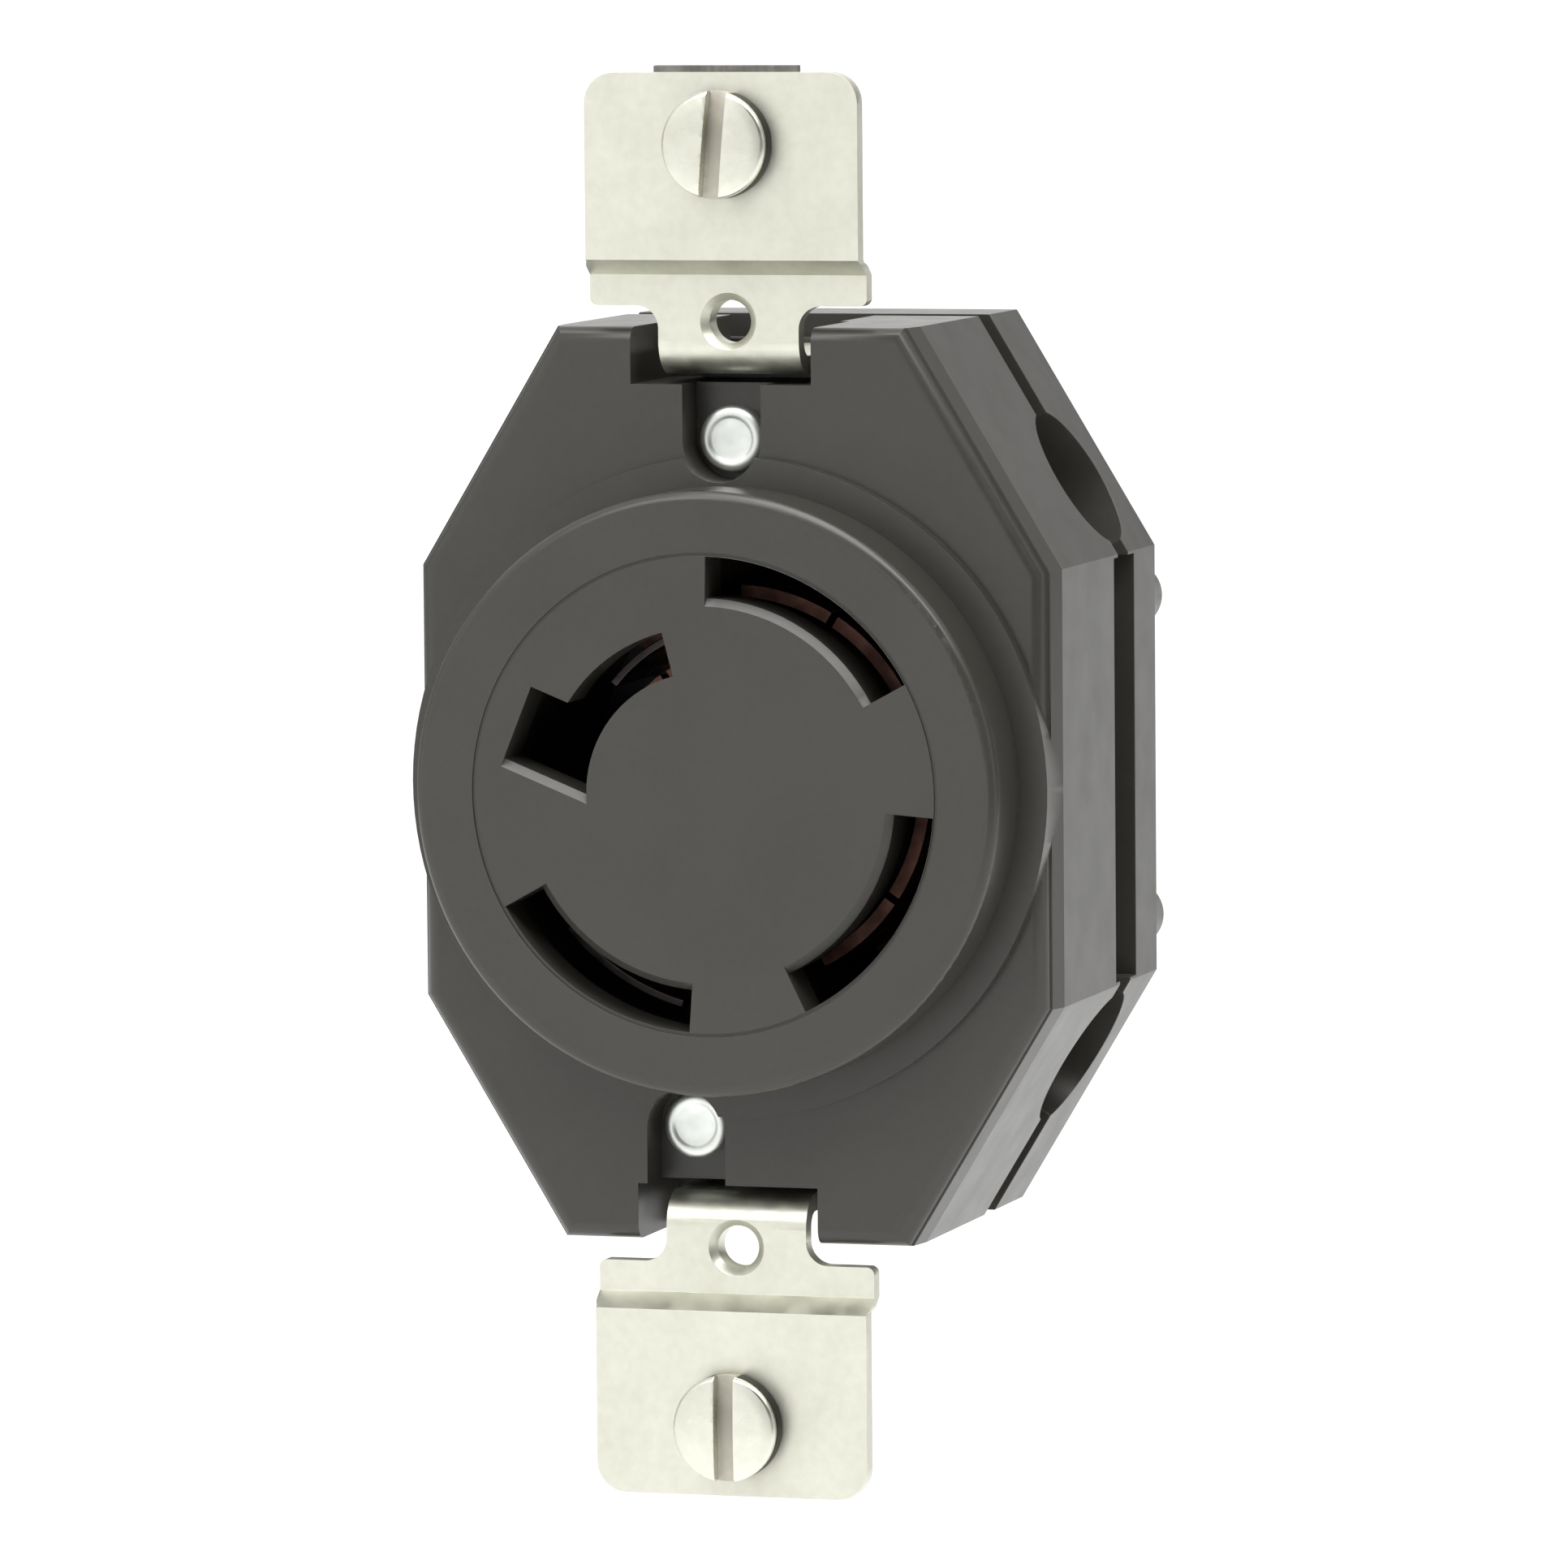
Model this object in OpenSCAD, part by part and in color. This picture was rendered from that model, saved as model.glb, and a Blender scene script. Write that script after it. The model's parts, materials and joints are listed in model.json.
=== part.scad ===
// Flush-mounting locking receptacle, four wire.
// The face looks along -Y and +Z is up. The origin is the middle of the box-screw pattern,
// in the plane where the backs of the two screw retainers bear on the box.

/* [Body] */
// Width of the moulded body
body_w = 43; // [42:0.1:43.2]
// Height of the moulded body
body_h = 59.6; // [59:0.1:60]
// Half length of the straight top and bottom edges
corner_x = 12.1; // [11.5:0.1:12.5]
// Half length of the straight side edges
corner_z = 14.2; // [13.8:0.1:14.6]
// Depth of the body behind its front plane
body_d = 26.8; // [26:0.1:28]
// Where the front cover ends and the rear base takes over
parting_y = 16.9; // [16.8:0.1:17.2]
// Width of the groove between the cover and the base
groove_gap = 2.6; // [2.2:0.1:2.8]
// Depth of that groove
groove_depth = 1.6; // [1.2:0.1:1.8]
// Front edge rounding of the cover
front_round = 1.0; // [0.5:0.1:1.2]

/* [Face] */
// Radius of the round boss
boss_r = 19.6; // [19.4:0.1:19.8]
// Height of the boss in front of the body
boss_h = 6.2; // [5.5:0.1:6.5]
// Radius of the low ring under the boss
ring_r = 21.5; // [21.3:0.1:21.7]
// Height of the low ring
ring_h = 0.9; // [0.5:0.1:1.2]
// Inner radius of the three power slots
slot_in = 12.2; // [12.1:0.1:12.3]
// Outer radius of the three power slots
slot_out = 15.4; // [15.2:0.1:15.6]
// Inner radius of the neutral slot
neutral_in = 7.9; // [7.8:0.1:8]
// Outer radius of the arc part of the neutral slot
neutral_out = 10.8; // [10.6:0.1:11]
// Distance from the middle to the outer end of the neutral slot's hook
hook_end = 13.3; // [13:0.1:13.5]
// Size of the sloping lead-in inside a slot's mouth
lead_in = 0.5; // [0.3:0.1:0.6]
// Thickness of the face plate
face_t = 3.5; // [2.5:0.1:3.6]

/* [Strap] */
// Thickness of the strap steel
strap_t = 1.2; // [1.1:0.05:1.25]
// Width of an ear
ear_w = 18.4; // [18:0.1:19]
// Distance from the middle to the end of an ear
ear_end = 46.3; // [46.2:0.1:46.5]
// Width of the neck and tail
neck_w = 9.5; // [9.3:0.1:9.6]
// How far the strip at the plate screw lies behind the ear
joggle = 1.4; // [1.3:0.05:1.5]
// Spacing of the two box screws
box_spacing = 83.34; // [83.3:0.01:83.4]
// Spacing of the two wall-plate screws
plate_spacing = 60.33; // [60.3:0.01:60.4]

/* [Terminals] */
// How far a wire clamp and its screw travel
clamp_travel = 2.75; // [2.5:0.05:2.75]
// Radius of the round access pockets
access_r = 5; // [4.8:0.1:5.1]
// Radius of a terminal screw's shank
terminal_r = 2.05; // [2:0.01:2.05]
// Radius of a wire entry hole
wire_r = 1.7; // [1.6:0.05:1.75]

/* [Hidden] */
$fn = 64;
eps = 0.01;

// Poles: which quadrant the terminal is in, and the slot's first and last angle
X = 0;
Y = 1;
Z = 2;
NEUTRAL = 3;
QUADRANT = [[1, 1], [1, -1], [-1, -1], [-1, 1]];
SLOT_FROM = [28.5, -64, 209, 104.5];
SLOT_TO = [89, -4.5, 266, 186];

// Hook of the neutral slot: the direction it points in, and its two sides off that line
hook_a = 158;
hook_low = 3.6;
hook_high = 2;

// Blade channel of each contact
leaf_t = 0.8;
blade_gap = 1.5;
spring_t = 0.5;
spring_half_a = 18;
leaf_tip_y = 1;
web_y = 12.8;
web_t = 1.2;
spring_root_y = 12.5;
function contact_in(pole) = pole == NEUTRAL ? neutral_in + 0.05 : slot_in + 0.1;
function spring_in(pole) = contact_in(pole) + leaf_t + blade_gap;
function contact_out(pole) = spring_in(pole) + spring_t + 0.5;
function contact_from(pole) = pole == NEUTRAL ? 104 : SLOT_FROM[pole] + 1;
function contact_to(pole) = pole == NEUTRAL ? 144 : SLOT_TO[pole] - 1;
function contact_mid(pole) = (contact_from(pole) + contact_to(pole)) / 2;

// Slanted side: its angle, its distance from the middle and the place of the access pocket on it
slant_a = atan2(body_w / 2 - corner_x, body_h / 2 - corner_z);
slant_u = body_w / 2 * cos(slant_a) + corner_z * sin(slant_a);
screw_y = 18.3;
screw_t = 6.9;

// Terminal stack with the clamp closed, measured along the screw from the middle of the body
tab_u = 16.6;
tab_t = 1.2;
clamp_t = 1.3;
clamp_z = 10.4;
clamp_y = 7.4;
clamp_u = tab_u + tab_t + 0.05;
head_u = clamp_u + clamp_t + 0.03;
terminal_head_r = 3.5;
terminal_head_h = 2.2;
terminal_shank = 6.8;
chamber_u = 11.6;
chamber_end_u = clamp_u + clamp_travel + clamp_t + 0.2;
chamber_z = 11.2;
chamber_floor_y = 22.3;
thread_r = terminal_r + 0.05;
wire_z = 3.45;
wire_u = tab_u + tab_t + clamp_travel / 2;

// Rear base
base_y = parting_y + groove_gap;
side_relief_z = 14;
side_relief_front = 1;
side_relief_back = 1.5;
foot_pad_r = 2.2;
foot_pad_h = 1.7;
foot_pad_inset = 0.05;
foot_pad_z = 10.7;

// Strap
box_z = box_spacing / 2;
plate_z = plate_spacing / 2;
strip_y = joggle - strap_t;
strip_w = 18.7;
ear_low_z = 34.2;
strip_high_z = 33.2;
strip_low_z = 31.2;
tail_z = 26.7;
bend_in = 1.0;
bend_out = bend_in + strap_t;
foot_low_z = 19.7;
plate_hole_r = 1.4;
collar_r = 2.3;
collar_h = 0.8;
ear_slot_r = 2.05;
ear_slot_l = 6.4;

// Recess for the neck
recess_left = -6.6;
recess_right = 5.6;
recess_z = 26.1;
recess_d = 9;
channel_gap = 0.2;

// Box screws and their retainers
box_screw_r = 1.75;
box_screw_l = 19;
box_head_r = 3.5;
box_head_h = 1.9;
box_head_gap = 0.05;
box_neck_r = 1.5;
retainer_w = 9.7;
retainer_h = 9.6;
retainer_up = 0.25;
retainer_t = 0.8;

// Rivets
RIVET_TOP = [-0.45, 22.45];
RIVET_BOTTOM = [-3.3, -22.45];
rivet_r = 1.6;
rivet_hole_r = 1.65;
rivet_head_r = 2.2;
rivet_head_h = 1.2;
rivet_floor_y = 3.2;
rivet_pocket_r = 2.65;
clinch_y = 22.5;
clinch_r = 2.3;
clinch_h = 0.8;
clinch_pocket_r = 3.2;

plastic = [0.16, 0.155, 0.15];
plated = [0.88, 0.88, 0.83];
copper = [0.72, 0.42, 0.28];
steel = [0.7, 0.7, 0.7];
fibre = [0.2, 0.19, 0.18];

// ---- Helpers ----

// The parts below are drawn with the body's front plane, and the backs of the ears, at y = 0.
// This moves them so that the backs of the screw retainers are at y = 0 instead.
module seated() {
  translate([0, -retainer_t, 0]) children();
}

// Extrudes a profile drawn in X and Z from y0 back to y1
module along_y(y0, y1) {
  translate([0, y1, 0]) rotate([90, 0, 0]) linear_extrude(y1 - y0) children();
}

// A ring sector from angle a0 to a1
module sector(r0, r1, a0, a1) {
  steps = 8;
  far = 1.5 * r1;
  intersection() {
    difference() {
      circle(r1);
      circle(r0);
    }
    polygon(concat([[0, 0]], [for (i = [0 : steps])
      let (a = a0 + (a1 - a0) * i / steps) [far * cos(a), far * sin(a)]]));
  }
}

// The body's octagon, drawn smaller by inset on every side
function octagon(inset) =
  let (x = body_w / 2 - inset, z = body_h / 2 - inset, k = inset * tan((90 - slant_a) / 2),
       j = inset * tan(slant_a / 2))
  [[x, corner_z - j], [corner_x - k, z], [-corner_x + k, z], [-x, corner_z - j],
   [-x, -corner_z + j], [-corner_x + k, -z], [corner_x - k, -z], [x, -corner_z + j]];

// Puts children on one octagon edge: local X points out of the body and local Z along the edge
module on_edge(points, i) {
  a = points[i];
  b = points[(i + 1) % len(points)];
  out_a = atan2(b[1] - a[1], b[0] - a[0]) - 90;
  translate([(a[0] + b[0]) / 2, 0, (a[1] + b[1]) / 2]) rotate([0, -out_a, 0]) children();
}

// Takes the corner off an edge that runs along Z at x = 0, y = 0, leaving a round of radius r
module edge_round(r, length) {
  difference() {
    translate([-r, -1, -length / 2]) cube([r + 1, r + 1, length]);
    translate([-r, r, -length]) cylinder(h = 2 * length, r = r);
  }
}

// Takes the corner off an edge that runs along Z at x = 0, y = 0, leaving a flat of size s
module edge_flat(s, length) {
  rotate([0, 0, 45]) cube([s * sqrt(2), 4 * s, length], center = true);
}

// Mirrors children, built in the top right quadrant, into a pole's own quadrant
module in_quadrant(pole) {
  mirror([QUADRANT[pole][0] < 0 ? 1 : 0, 0, 0])
    mirror([0, 0, QUADRANT[pole][1] < 0 ? 1 : 0])
      children();
}

// Terminal frame: X runs out along the screw, Y is depth and the screw axis is at y = z = 0
module at_terminal(pole) {
  in_quadrant(pole) rotate([0, -slant_a, 0]) translate([0, screw_y, screw_t]) children();
}

// A block in the terminal frame, from u0 to u1 along the screw and from y0 to y1 in depth
module terminal_block(u0, u1, y0, y1, z0, z1) {
  translate([u0, y0 - screw_y, z0]) cube([u1 - u0, y1 - y0, z1 - z0]);
}

// A cylinder along the terminal screw
module terminal_rod(u0, u1, r) {
  translate([u0, 0, 0]) rotate([0, 90, 0]) cylinder(h = u1 - u0, r = r);
}

// A cylinder along Y
module rod_y(x, z, y0, y1, r) {
  translate([x, y0, z]) rotate([-90, 0, 0]) cylinder(h = y1 - y0, r = r);
}

module rounded_rect(w, h, r) {
  square([w - 2 * r, h], center = true);
  square([w, h - 2 * r], center = true);
  for (x = [-1, 1], z = [-1, 1])
    translate([x * (w / 2 - r), z * (h / 2 - r)]) circle(r);
}

// ---- Mouldings ----

// One terminal's chamber, shared by the cover and the base
module terminal_space(pole, y0, y1) {
  at_terminal(pole) {
    terminal_block(chamber_u, chamber_end_u, y0, y1, -chamber_z / 2, chamber_z / 2);
    terminal_rod(chamber_end_u - 0.3, slant_u + 4, access_r);
  }
}

// A slot's outline, smaller by inset on the side that has the lead-in
module slot_shape(pole, inset) {
  if (pole == NEUTRAL) {
    low = hook_low - inset;
    difference() {
      sector(neutral_in, neutral_out, SLOT_FROM[pole], SLOT_TO[pole] + 9);
      rotate(hook_a) translate([0, low]) square(hook_end);
    }
    rotate(hook_a) translate([neutral_in + 1.2, -hook_high])
      square([hook_end - neutral_in - 1.2, low + hook_high]);
  } else {
    sector(slot_in + inset, slot_out, SLOT_FROM[pole], SLOT_TO[pole]);
  }
}

// A slot's mouth, which slopes in to the width of the slot behind it
module slot_mouth(pole) {
  intersection() {
    along_y(-boss_h - 1, lead_in - boss_h) slot_shape(pole, 0);
    rotate([90, 0, 0])
      if (pole == NEUTRAL)
        rotate([0, 0, hook_a]) rotate([90, 0, 90]) linear_extrude(2 * hook_end)
          polygon([[-hook_end, boss_h - 2], [-hook_end, boss_h + 2], [hook_low + 2, boss_h + 2],
                   [hook_low - 2, boss_h - 2]]);
      else
        rotate_extrude()
          polygon([[slot_in - 2, boss_h + 2], [slot_in + 2, boss_h - 2], [slot_out + 2, boss_h - 2],
                   [slot_out + 2, boss_h + 2]]);
  }
}

// Room behind a slot for the blade to turn, and for the contact
module blade_pocket(pole) {
  inner = pole == NEUTRAL ? neutral_in - 0.3 : slot_in - 0.2;
  outer = pole == NEUTRAL ? hook_end + 0.9 : slot_out + 1.5;
  along_y(face_t - boss_h, parting_y + 1) sector(inner, outer, SLOT_FROM[pole] - 4, SLOT_TO[pole] + 4);
}

// The round face with its slots, down to the ring that it stands on
module face_boss() {
  rim_r = 0.7;
  line_d = 0.12;
  color(plastic) seated() difference() {
    rotate([90, 0, 0]) rotate_extrude() {
      translate([0, ring_h]) square([boss_r - rim_r, boss_h - ring_h]);
      translate([0, ring_h]) square([boss_r, boss_h - rim_r - ring_h]);
      translate([boss_r - rim_r, boss_h - rim_r]) circle(rim_r);
    }
    for (pole = [X : NEUTRAL]) {
      along_y(-boss_h - 1, 0) slot_shape(pole, lead_in);
      slot_mouth(pole);
      blade_pocket(pole);
    }
    along_y(-boss_h - 1, -boss_h + line_d) difference() {
      circle(slot_out + 0.25);
      circle(slot_out + 0.05);
    }
  }
}

// Recess, channel and rivet pocket of one strap, built for the top
module strap_space(rivet) {
  translate([recess_left, -1, recess_z]) cube([recess_right - recess_left, recess_d + 1, 10]);
  translate([-neck_w / 2 - channel_gap, 0, tail_z - channel_gap])
    cube([neck_w + 2 * channel_gap, parting_y + 1, 10]);
  rod_y(rivet[0], rivet[1], -1, rivet_floor_y, rivet_pocket_r);
  translate([rivet[0] - rivet_pocket_r, -1, rivet[1]])
    cube([2 * rivet_pocket_r, rivet_floor_y + 1, recess_z - rivet[1] + 0.5]);
  rod_y(rivet[0], rivet[1], 0, parting_y + 1, rivet_hole_r);
}

// Cuts the sides back where the groove is wider, between y0 and y1
module side_relief(y0, y1) {
  for (side = [-1, 1])
    translate([side * (body_w / 2 - groove_depth) + (side < 0 ? -3 : 0), y0, -side_relief_z])
      cube([3, y1 - y0, 2 * side_relief_z]);
}

module front_cover() {
  draft_a = 7;
  draft_d = 3;
  draft = draft_d * tan(draft_a);
  outline = octagon(0);
  color(plastic) seated() difference() {
    union() {
      difference() {
        along_y(0, parting_y) polygon(outline);
        for (i = [0 : len(outline) - 1])
          on_edge(outline, i)
            if (i % 4 == 1)
              edge_round(front_round, body_w);
            else {
              translate([-draft, 0, 0]) edge_round(front_round, body_w);
              translate([0, draft_d, -body_w / 2]) rotate([0, 0, -draft_a])
                translate([0, -2 * draft_d, 0]) cube([3, 2 * draft_d, body_w]);
            }
      }
      rod_y(0, 0, -ring_h, 4, ring_r);
    }
    for (pole = [X : NEUTRAL]) {
      blade_pocket(pole);
      terminal_space(pole, web_y, parting_y + 1);
    }
    strap_space(RIVET_TOP);
    mirror([0, 0, 1]) strap_space([RIVET_BOTTOM[0], -RIVET_BOTTOM[1]]);
    side_relief(parting_y - side_relief_front, parting_y + 1);
  }
}

// Pocket for a strap's foot in the front of the base, built for the top
module foot_space() {
  gap = 0.3;
  translate([recess_left, parting_y - 1, foot_low_z - gap])
    cube([neck_w / 2 + gap - recess_left, strap_t + 1, 10]);
}

// Through hole and clinch pocket of one rivet in the base
module rivet_space(rivet) {
  rod_y(rivet[0], rivet[1], parting_y - 1, clinch_y + 1, rivet_hole_r);
  rod_y(rivet[0], rivet[1], clinch_y, body_d + 1, clinch_pocket_r);
}

module rear_base() {
  back_flat = 0.4;
  outline = octagon(0);
  color(plastic) seated() difference() {
    union() {
      difference() {
        along_y(base_y, body_d) polygon(outline);
        for (i = [0 : len(outline) - 1])
          on_edge(outline, i)
            translate([0, body_d, 0]) edge_flat(back_flat, body_w);
      }
      along_y(parting_y, base_y + 1) polygon(octagon(groove_depth));
      for (x = [-1, 1], z = [-1, 1])
        rod_y(x * (body_w / 2 - foot_pad_r - foot_pad_inset), z * foot_pad_z, body_d - 1,
              body_d + foot_pad_h, foot_pad_r);
    }
    for (pole = [X : NEUTRAL]) {
      terminal_space(pole, parting_y - 1, chamber_floor_y);
      at_terminal(pole)
        for (z = [-wire_z, wire_z])
          rod_y(wire_u, z, chamber_floor_y - screw_y - 1, body_d - screw_y + 1, wire_r);
    }
    for (end = [0, 1])
      mirror([0, 0, end]) foot_space();
    rivet_space(RIVET_TOP);
    rivet_space(RIVET_BOTTOM);
    side_relief(base_y - 0.5, base_y + side_relief_back);
  }
}

// ---- Straps ----

// Side profile of the strap, drawn in Y and Z: ear, joggle and strip
module ear_profile() {
  polygon([[-strap_t, ear_low_z], [0, ear_low_z], [0, ear_end], [-strap_t, ear_end]]);
  polygon([[-strap_t, ear_low_z], [strip_y, strip_high_z], [strip_y + strap_t, strip_high_z], [0, ear_low_z]]);
  translate([strip_y, strip_low_z]) square([strap_t, strip_high_z - strip_low_z]);
}

// Extrudes a profile drawn in Y and Z across the width w, from x0
module across(x0, w) {
  translate([x0, 0, 0]) rotate([90, 0, 90]) linear_extrude(w) children();
}

module neck_profile() {
  bend_y = strip_y + bend_out;
  bend_z = tail_z + bend_out;
  translate([strip_y, bend_z]) square([strap_t, strip_low_z - bend_z + 0.5]);
  translate([bend_y, tail_z]) square([parting_y + strap_t - bend_y, strap_t]);
  intersection() {
    translate([bend_y, bend_z]) difference() {
      circle(bend_out);
      circle(bend_in);
    }
    translate([strip_y, tail_z]) square(bend_out);
  }
}

// A strap, built for the top, with its foot held by a rivet
module strap(rivet) {
  corner_r = 2;
  shoulder_r = 1.5;
  foot_left = min(-neck_w / 2, rivet[0] - rivet_hole_r - 0.9);
  difference() {
    union() {
      intersection() {
        across(-strip_w / 2, strip_w) ear_profile();
        along_y(-2, 3) {
          translate([0, (ear_end + ear_low_z) / 2])
            rounded_rect(ear_w, ear_end - ear_low_z, corner_r);
          translate([-ear_w / 2, ear_low_z - 1.2]) square([ear_w, 5]);
          translate([0, (strip_low_z + ear_low_z) / 2])
            rounded_rect(strip_w, ear_low_z - strip_low_z, 0.5);
        }
      }
      across(-neck_w / 2, neck_w) neck_profile();
      translate([foot_left, parting_y, foot_low_z])
        cube([neck_w / 2 - foot_left, strap_t, tail_z + strap_t - foot_low_z]);
      rod_y(0, plate_z, strip_y + strap_t / 2, strip_y + strap_t + collar_h, collar_r);
      along_y(strip_y, strip_y + strap_t)
        for (side = [-1, 1])
          translate([side * neck_w / 2, strip_low_z]) difference() {
            translate([side < 0 ? -shoulder_r : 0, -shoulder_r]) square([shoulder_r, shoulder_r + 0.3]);
            translate([side * shoulder_r, -shoulder_r]) circle(shoulder_r);
          }
    }
    rod_y(0, plate_z, -1, 5, plate_hole_r);
    translate([0, strip_y - eps, plate_z]) rotate([-90, 0, 0])
      cylinder(h = 0.5, r1 = plate_hole_r + 0.5, r2 = plate_hole_r);
    along_y(-2, 1) translate([0, box_z]) rounded_rect(ear_slot_l, 2 * ear_slot_r, ear_slot_r - eps);
    rod_y(rivet[0], rivet[1], parting_y - 1, parting_y + 3, rivet_hole_r);
  }
}

module strap_top() {
  color(plated) seated() strap(RIVET_TOP);
}

module strap_bottom() {
  color(plated) seated() mirror([0, 0, 1]) strap([RIVET_BOTTOM[0], -RIVET_BOTTOM[1]]);
}

// ---- Fasteners ----

// A captive box screw, with its slot turned by lean degrees
module box_screw(z, lean) {
  head_y = -strap_t - box_head_gap;
  edge = 0.6;
  slot_w = 1.2;
  slot_d = 0.9;
  color(plated) seated() difference() {
    union() {
      translate([0, head_y, z]) rotate([90, 0, 0]) rotate_extrude() {
        square([box_head_r, box_head_h - edge]);
        square([box_head_r - edge, box_head_h]);
        translate([box_head_r - edge, box_head_h - edge]) circle(edge);
      }
      rod_y(0, z, head_y - eps, retainer_t + eps, box_neck_r);
      rod_y(0, z, retainer_t, head_y + box_screw_l, box_screw_r);
    }
    translate([0, head_y - box_head_h, z]) rotate([0, lean, 0])
      translate([-slot_w / 2, -1, -box_head_r - 1]) cube([slot_w, slot_d + 1, 2 * box_head_r + 2]);
  }
}

module screw_retainer(z) {
  color(fibre) seated() difference() {
    along_y(0, retainer_t)
      translate([0, z + retainer_up]) square([retainer_w, retainer_h], center = true);
    rod_y(0, z, -1, retainer_t + 1, box_neck_r + 0.05);
  }
}

module assembly_rivet(place) {
  dish_r = 1.25;
  dish_d = 0.35;
  hollow_r = 0.9;
  color(plated) seated() difference() {
    union() {
      rod_y(place[0], place[1], rivet_floor_y - rivet_head_h, rivet_floor_y, rivet_head_r);
      rod_y(place[0], place[1], rivet_floor_y - eps, clinch_y + eps, rivet_r);
      rod_y(place[0], place[1], clinch_y, clinch_y + clinch_h, clinch_r);
    }
    rod_y(place[0], place[1], rivet_floor_y - rivet_head_h - 1,
          rivet_floor_y - rivet_head_h + dish_d, dish_r);
    rod_y(place[0], place[1], clinch_y - 4, clinch_y + clinch_h + 1, hollow_r);
  }
}

// ---- Contacts ----

// A rectangle in the terminal frame's X and Z, from u0 to u1 along the screw
module terminal_plate(pole, u0, u1, z0, z1) {
  mirror([QUADRANT[pole][0] < 0 ? 1 : 0, 0, 0])
    mirror([0, QUADRANT[pole][1] < 0 ? 1 : 0, 0])
      rotate(slant_a) translate([u0, screw_t + z0]) square([u1 - u0, z1 - z0]);
}

// Outline of the plate that joins a contact's leaf to its terminal
module web_outline(pole) {
  near_u = pole == NEUTRAL ? 12.4 : 11.9;
  sector(contact_in(pole), contact_out(pole), contact_from(pole), contact_to(pole));
  terminal_plate(pole, near_u, tab_u + tab_t, -clamp_z / 2, clamp_z / 2);
  if (pole == NEUTRAL)
    terminal_plate(pole, 8.2, near_u + eps, -clamp_z / 2, -0.4);
}

module contact(pole) {
  inner = contact_in(pole);
  slit = 0.5;
  slit_l = 10;
  color(copper) seated() difference() {
    union() {
      along_y(leaf_tip_y, web_y + web_t / 2)
        sector(inner, inner + leaf_t, contact_from(pole), contact_to(pole));
      along_y(web_y, web_y + web_t) web_outline(pole);
      at_terminal(pole)
        terminal_block(tab_u, tab_u + tab_t, web_y, chamber_floor_y, -clamp_z / 2, clamp_z / 2);
    }
    rotate([0, -contact_mid(pole), 0])
      translate([inner - 1, leaf_tip_y - 1, -slit / 2]) cube([leaf_t + 2, slit_l + 1, slit]);
    at_terminal(pole) terminal_rod(tab_u - 1, tab_u + tab_t + 1, thread_r);
  }
}

module contact_spring(pole) {
  mid = contact_mid(pole);
  inner = spring_in(pole);
  color(steel) seated() along_y(leaf_tip_y, spring_root_y)
    sector(inner, inner + spring_t, mid - spring_half_a, mid + spring_half_a);
}

// ---- Terminals ----

module wire_clamp(pole) {
  groove = 0.35;
  color(steel) seated() at_terminal(pole) difference() {
    terminal_block(clamp_u, clamp_u + clamp_t, screw_y - clamp_y / 2, screw_y + clamp_y / 2,
                   -clamp_z / 2, clamp_z / 2);
    terminal_rod(clamp_u - 1, clamp_u + clamp_t + 1, thread_r);
    for (z = [-wire_z, wire_z])
      terminal_block(clamp_u - 1, clamp_u + groove, 0, 2 * screw_y, z - 0.7, z + 0.7);
  }
}

module terminal_screw(pole) {
  slot_w = 1.1;
  slot_d = 1.1;
  head_top = head_u + terminal_head_h;
  color(plated) seated() at_terminal(pole) difference() {
    union() {
      terminal_rod(head_u, head_top, terminal_head_r);
      terminal_rod(head_u - terminal_shank, head_u + eps, terminal_r);
    }
    translate([head_top - slot_d, -terminal_head_r - 1, -slot_w / 2])
      cube([slot_d + 1, 2 * terminal_head_r + 2, slot_w]);
  }
}

face_boss();
front_cover();
rear_base();
strap_top();
strap_bottom();
box_screw(box_z, 5);  // box_screw_top
box_screw(-box_z, 0);  // box_screw_bottom
screw_retainer(box_z);  // screw_retainer_top
screw_retainer(-box_z);  // screw_retainer_bottom
assembly_rivet(RIVET_TOP);  // assembly_rivet_top
assembly_rivet(RIVET_BOTTOM);  // assembly_rivet_bottom
contact(X);  // contact_x
contact(Y);  // contact_y
contact(Z);  // contact_z
contact(NEUTRAL);  // contact_neutral
contact_spring(X);  // contact_spring_x
contact_spring(Y);  // contact_spring_y
contact_spring(Z);  // contact_spring_z
contact_spring(NEUTRAL);  // contact_spring_neutral
wire_clamp(X);  // wire_clamp_x
wire_clamp(Y);  // wire_clamp_y
wire_clamp(Z);  // wire_clamp_z
wire_clamp(NEUTRAL);  // wire_clamp_neutral
terminal_screw(X);  // terminal_screw_x
terminal_screw(Y);  // terminal_screw_y
terminal_screw(Z);  // terminal_screw_z
terminal_screw(NEUTRAL);  // terminal_screw_neutral
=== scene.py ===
"""Looks of a flush-mounting locking receptacle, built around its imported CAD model."""

import json
import math

import bmesh
import bpy
from mathutils import Matrix, Vector


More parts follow.
